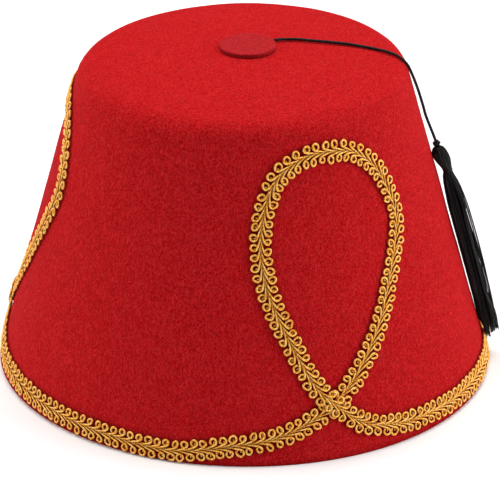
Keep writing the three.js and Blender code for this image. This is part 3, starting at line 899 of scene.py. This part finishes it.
# The rings: how far apart, their radius, and how far out from the braid's middle line they stand.
RING_PITCH = 0.0037
RING_RADIUS = 0.00122
RING_OUT = 0.00256
GIMP_RADIUS = 0.00042
THREAD_STEPS = 44
GIMP_SIDES = 7
# The foil's tones change at random from spot to spot and stand in for its glints: the palest are
# painted highlights, the darkest painted shade.
GOLD_DARK = (0.45, 0.13, 0.008)
GOLD_DEEP = (0.80, 0.27, 0.016)
GOLD_WARM = (1.0, 0.47, 0.055)
GOLD_PALE = (1.0, 0.69, 0.23)
# The tint of the painted shade on each thread's underside, towards the felt.
UNDERSIDE_SHADE = (0.50, 0.24, 0.10)
FOIL_TURN = 0.00024
WARP_BROWN = (0.62, 0.27, 0.035)
WARP_PLACES = (-0.0005, 0.0, 0.0005)
WARP_UP = 0.0003
WARP_RADIUS = 0.00028
# How far from the braid's middle line the painted shade is full and where it ends, and how dark
# the painted shade at the rim's foot is, in full up to one height and not at all over another.
BRAID_SHADE_REACH = (0.38 * BRAID_WIDTH, 0.6 * BRAID_WIDTH)
RIM_SHADE = 0.6
RIM_SHADE_REACH = (0.0006, 0.0022)

# The braid's middle line for one loop, from left to right along the rim: it climbs the right
# branch, comes over the top and down the left branch, and crosses over its own start.
# Across is a share of the loop's half spread, and up a share of its rise.
LOOP_ROUTE = (
    (-1.9, 0), (-1.33, 0.029), (-0.9, 0.053), (-0.5, 0.104), (-0.245, 0.151),
    (-0.006, 0.216), (0.408, 0.374), (0.728, 0.54), (0.939, 0.65), (1.02, 0.72),
    (1, 0.78), (0.833, 0.895), (0.474, 0.977), (0.066, 1), (-0.368, 0.992),
    (-0.75, 0.93), (-0.939, 0.812), (-0.982, 0.7), (-0.912, 0.559), (-0.68, 0.38),
    (-0.402, 0.206), (-0.245, 0.151), (0.038, 0.069), (0.45, 0.028), (0.882, 0.017),
    (1.9, 0.008),
)
CROSSING = LOOP_ROUTE[4]

# One scroll's thread: along is from its ring's middle, out from the braid's middle line, and up is
# the height of the thread's middle over the felt, in metres. The ring starts at RING_START and goes
# on by RING_TURN, both in degrees. A ring wound shut has its tail drawn back along and further out.
SCROLL_STEM = (
    (-0.0048, 0.00012, 0.00042),
    (-0.0038, 0.00022, 0.00066),
    (-0.0028, 0.00042, 0.00092),
    (-0.0017, 0.00074, 0.00108),
    (-0.0006, 0.00106, 0.00110),
)
RING_START = -72
RING_TURN = 38
RING_HEIGHTS = (
    0.00104, 0.00100, 0.00092, 0.00086, 0.00082, 0.00080, 0.00078, 0.00070, 0.00058, 0.00048,
)
SCROLL_TAIL = (
    (0.00045, 0.00165, 0.00044),
    (0.00055, 0.00215, 0.00046),
    (0.00028, 0.00250, 0.00048),
)
SHUT_ALONG = 0.0003
SHUT_OUT = 0.0002

run_height = BRAID_FOOT + BRAID_WIDTH / 2 * math.cos(side_lean)
loop_top = CROWN_HEIGHT - LOOP_TOP_GAP - BRAID_WIDTH / 2 * math.cos(side_lean)
loop_pitch = 2 * math.pi / LOOP_COUNT
mean_radius = (RIM_RADIUS + TOP_RADIUS) / 2
half_pitch = loop_pitch / 2 / LOOP_HALF_SPREAD


def route_point(across, up):
    return (
        (LOOP_AZIMUTH + across * LOOP_HALF_SPREAD) * mean_radius,
        run_height + up * (loop_top - run_height),
    )


route = [route_point(*row) for row in ((-half_pitch, RUN_UP), *LOOP_ROUTE, (half_pitch, RUN_UP))]
loop_line = smooth_path(route, 3001)[:-1]
loop_azimuths = loop_line[:, 0] / mean_radius
crossing_azimuth, crossing_height = route_point(*CROSSING)
from_crossing = np.linalg.norm(
    on_side(loop_azimuths, loop_line[:, 1]) - on_side(crossing_azimuth / mean_radius, crossing_height),
    axis=1,
)
# Only the run that comes down over the loop's own start is lifted.
loop_lift = CROSSING_LIFT * (1 - smooth_step(from_crossing, *LIFT_REACH))
loop_lift[: len(loop_lift) // 2] = 0
braid_azimuth = np.concatenate([loop_azimuths + k * loop_pitch for k in range(LOOP_COUNT)])
braid_height = np.tile(loop_line[:, 1], LOOP_COUNT)
braid_lift = np.tile(loop_lift, LOOP_COUNT)
braid_places = on_side(braid_azimuth, braid_height)
braid_steps = np.linalg.norm(np.roll(braid_places, -1, axis=0) - braid_places, axis=1)
braid_reach = np.concatenate(((0,), np.cumsum(braid_steps)))
braid_length = braid_reach[-1]


def along_braid(distance):
    """Azimuth, height and lift of the braid's middle at a distance along it."""
    laps = np.floor(distance / braid_length)
    inside_lap = distance - laps * braid_length
    azimuth = np.interp(inside_lap, braid_reach, np.append(braid_azimuth, braid_azimuth[0] + 2 * np.pi))
    height = np.interp(inside_lap, braid_reach, np.append(braid_height, braid_height[0]))
    lift = np.interp(inside_lap, braid_reach, np.append(braid_lift, braid_lift[0]))
    return azimuth + 2 * np.pi * laps, height, lift


def on_braid(along, out, up):
    """Points beside the braid's middle line and over the felt, and the felt's normal there."""
    azimuth, height, lift = along_braid(along)
    ahead = on_side(*along_braid(along + 0.0004)[:2])
    behind = on_side(*along_braid(along - 0.0004)[:2])
    travel = ahead - behind
    travel /= np.linalg.norm(travel, axis=-1, keepdims=True)
    middle = on_side(azimuth, height)
    normal = on_side(azimuth, height, 1.0) - middle
    point = middle + np.cross(normal, travel) * out[..., None]
    azimuth = np.arctan2(point[..., 0], -point[..., 1])
    return on_side(azimuth, point[..., 2], up + lift), normal


def scroll_thread(size, stretch, lean, pinch, shut):
    """One scroll's thread from the middle line, round its ring and into the ring's own hole."""
    points = list(SCROLL_STEM)
    for step, up in enumerate(RING_HEIGHTS):
        angle = math.radians(RING_START + step * RING_TURN)
        outwards = max(0, math.sin(angle))
        reach = size * RING_RADIUS * (1 + pinch * (outwards**3 - 0.4 * outwards))
        points.append(
            (
                reach * stretch * math.cos(angle) + lean * outwards,
                RING_OUT + reach * math.sin(angle),
                up,
            )
        )
    for along, out, up in SCROLL_TAIL:
        points.append((along - shut * SHUT_ALONG, out + shut * SHUT_OUT, up))
    return smooth_path(points, THREAD_STEPS, fineness=12)


scroll_count = round(braid_length / RING_PITCH)
pitch = braid_length / scroll_count
rng = np.random.default_rng(77)
scrolls = [[] for _ in range(LOOP_COUNT)]
normals = [[] for _ in range(LOOP_COUNT)]
for index in range(scroll_count):
    for side in (-1, 1):
        local = scroll_thread(
            size=rng.uniform(0.86, 1.08),
            stretch=rng.uniform(0.84, 1.1),
            lean=rng.normal(0, 0.00026),
            pinch=rng.uniform(-0.2, 0.4),
            shut=rng.uniform(0, 1),
        )
        station = (index + (0.5 if side > 0 else 0)) * pitch + rng.normal(0, 0.00012)
        line, normal = on_braid(
            station + local[:, 0],
            side * (local[:, 1] + rng.normal(0, 0.0001)),
            local[:, 2] + rng.normal(0, 0.00005) + (0.00008 if side > 0 else 0),
        )
        loop = min(int(station / braid_length * LOOP_COUNT) % LOOP_COUNT, LOOP_COUNT - 1)
        scrolls[loop].append(line)
        normals[loop].append(normal)


def gold_material(name):
    """Thread wrapped in gilt foil: bright metal, with the fine turns of the foil and dull spots. Its
    tone changes at random, with painted glints at its palest, and painted shade on the side towards the
    felt.
    """
    material, tree, shader = new_material(name)
    place = add_node(tree, "TexCoord").outputs["Object"]
    spots = add_node(
        tree, "TexNoise", {"Vector": place, "Scale": 1500.0, "Detail": 2.0, "Roughness": 0.6}
    ).outputs["Fac"]
    # Painted glints: the palest and darkest spots of the ramp are painted highlight and shade.
    ramp = add_node(tree, "ValToRGB", {"Fac": spots})
    ramp_colours(ramp, ((0.3, GOLD_DARK), (0.39, GOLD_DEEP), (0.49, GOLD_WARM), (0.61, GOLD_PALE)))
    wrap = add_node(tree, "Attribute", attribute_name="wrap").outputs["Vector"]
    parts = add_node(tree, "SeparateXYZ", {"Vector": wrap}).outputs
    # Painted shade: the thread's side towards the felt is darkened.
    underside = add_node(
        tree,
        "MapRange",
        {"Value": parts["Y"], "From Min": -0.3, "From Max": 0.5, "To Min": 1.0, "To Max": 0.0},
    )
    shaded_foil = add_node(
        tree,
        "Mix",
        {0: underside.outputs["Result"], 6: ramp.outputs["Color"], 7: (*UNDERSIDE_SHADE, 1)},
        data_type="RGBA",
        blend_type="MULTIPLY",
    )
    tree.links.new(shaded_foil.outputs[2], shader.inputs["Base Color"])
    turn_rate = 2 * math.pi / FOIL_TURN
    turns = add_node(tree, "Math", {0: parts["Z"], 1: turn_rate}, operation="MULTIPLY").outputs[0]
    waves = []
    for source, wave in ((parts["X"], "SINE"), (parts["Y"], "COSINE")):
        swing = add_node(tree, "Math", {0: turns}, operation=wave).outputs[0]
        waves.append(add_node(tree, "Math", {0: source, 1: swing}, operation="MULTIPLY").outputs[0])
    foil = add_node(tree, "Math", {0: waves[0], 1: waves[1]}, operation="ADD").outputs[0]
    bump = add_node(tree, "Bump", {"Height": foil, "Strength": 0.35, "Distance": 0.00004})
    tree.links.new(bump.outputs["Normal"], shader.inputs["Normal"])
    dull = add_node(tree, "MapRange", {"Value": spots, "To Min": 0.5, "To Max": 0.28})
    tree.links.new(dull.outputs["Result"], shader.inputs["Roughness"])
    shader.inputs["Metallic"].default_value = 0.1
    shader.inputs["Specular IOR Level"].default_value = 0.5
    shader.inputs["Specular Tint"].default_value = (1, 0.62, 0.2, 1)
    return material


# Painted shade: the felt is darkened under the braid and close beside it, and at the rim's foot.
braid_shade_line = braid_places[::6]
shade_share = np.zeros(len(crown_points))
near = np.flatnonzero(crown_points[:, 2] < loop_top + BRAID_WIDTH)
for start in range(0, len(near), 2000):
    chunk = near[start : start + 2000]
    apart = np.linalg.norm(crown_points[chunk, None] - braid_shade_line[None], axis=2).min(axis=1)
    shade_share[chunk] = 1 - smooth_step(apart, *BRAID_SHADE_REACH)
# Painted shade at the rim's foot, darkest at the cut edge.
rim_shade = RIM_SHADE * (1 - smooth_step(crown_points[:, 2], *RIM_SHADE_REACH))
shade_share = np.maximum(shade_share, rim_shade)
braid_shade = crown.data.attributes.new("braid_shade", "FLOAT", "POINT")
braid_shade.data.foreach_set("value", shade_share.astype(np.float32))

# A thread is pressed thinner along the braid's middle and at its tail than in its ring.
gold = gold_material("gilt_thread")
thread_radius = GIMP_RADIUS * np.interp(
    np.linspace(0, 1, THREAD_STEPS), (0, 0.12, 0.3, 0.4, 0.8, 1), (0.56, 0.64, 0.8, 1, 1, 0.7)
)
braid_pieces = []
for loop in range(LOOP_COUNT):
    strip = tubes(
        f"gimp_scrolls_{loop + 1}", scrolls[loop], np.array(normals[loop]), thread_radius, GIMP_SIDES
    )
    strip.data.materials.append(gold)
    braid_pieces.append(strip)
warp_along = np.linspace(0, braid_length, 1301)
warp_lines, warp_normals = zip(
    *(
        on_braid(warp_along, np.full_like(warp_along, out), np.full_like(warp_along, WARP_UP))
        for out in WARP_PLACES
    )
)
warp = tubes("gimp_warp", warp_lines, np.array(warp_normals), WARP_RADIUS, 5)
warp_cotton, warp_tree, warp_shader = new_material("warp_cotton")
warp_shader.inputs["Roughness"].default_value = 0.8
speckle = add_node(
    warp_tree,
    "TexNoise",
    {"Vector": add_node(warp_tree, "TexCoord").outputs["Object"], "Scale": 1800.0},
)
warp_ramp = add_node(warp_tree, "ValToRGB", {"Fac": speckle.outputs["Fac"]})
ramp_colours(warp_ramp, ((0.35, tuple(part * 0.6 for part in WARP_BROWN)), (0.65, WARP_BROWN)))
warp_tree.links.new(warp_ramp.outputs["Color"], warp_shader.inputs["Base Color"])
warp.data.materials.append(warp_cotton)
braid_pieces.append(warp)
for strip in braid_pieces:
    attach(strip, "root")
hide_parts("gimp_braid")

# Table and light
# The hat stands on a plain white table in a white room. Two large soft lights stand at its sides
# and one hangs over it, so that its front is the darkest part.
TABLE_RADIUS = 4.0
TABLE_SIDES = 96
TABLE_WHITE = (0.9, 0.9, 0.9)
ROOM_LIGHT = 0.23
# Each light: where it stands, its side, and its power in watts. All point at the hat.
LIGHTS = (
    ("light_left", (-1.5, 0.03, 0.65), 1.3, 14.8),
    ("light_right", (1.5, -0.14, 0.65), 1.3, 19.8),
    ("light_above", (0, 0.5, 1.9), 1.6, 41),
)
LIT_POINT = Vector((0, 0, 0.06))

table_turn = 2 * np.pi * np.arange(TABLE_SIDES) / TABLE_SIDES
table_points = np.stack(
    (TABLE_RADIUS * np.cos(table_turn), TABLE_RADIUS * np.sin(table_turn), 0 * table_turn), axis=1
)
table = new_piece("table", table_points, [tuple(range(TABLE_SIDES))])
table_material, _, table_shader = new_material("table_paint")
table_shader.inputs["Base Color"].default_value = (*TABLE_WHITE, 1)
table_shader.inputs["Roughness"].default_value = 0.8
table.data.materials.append(table_material)

for name, place, size, power in LIGHTS:
    light = bpy.data.objects.new(name, bpy.data.lights.new(name, "AREA"))
    light.data.shape = "SQUARE"
    light.data.size = size
    light.data.energy = power
    light.location = place
    light.rotation_euler = (LIT_POINT - Vector(place)).to_track_quat("-Z", "Y").to_euler()
    bpy.context.scene.collection.objects.link(light)
room = bpy.data.worlds.new("room")
room.use_nodes = True
room.node_tree.nodes["Background"].inputs["Color"].default_value = (1, 1, 1, 1)
room.node_tree.nodes["Background"].inputs["Strength"].default_value = ROOM_LIGHT
bpy.context.scene.world = room
bpy.context.scene.view_settings.view_transform = "Standard"
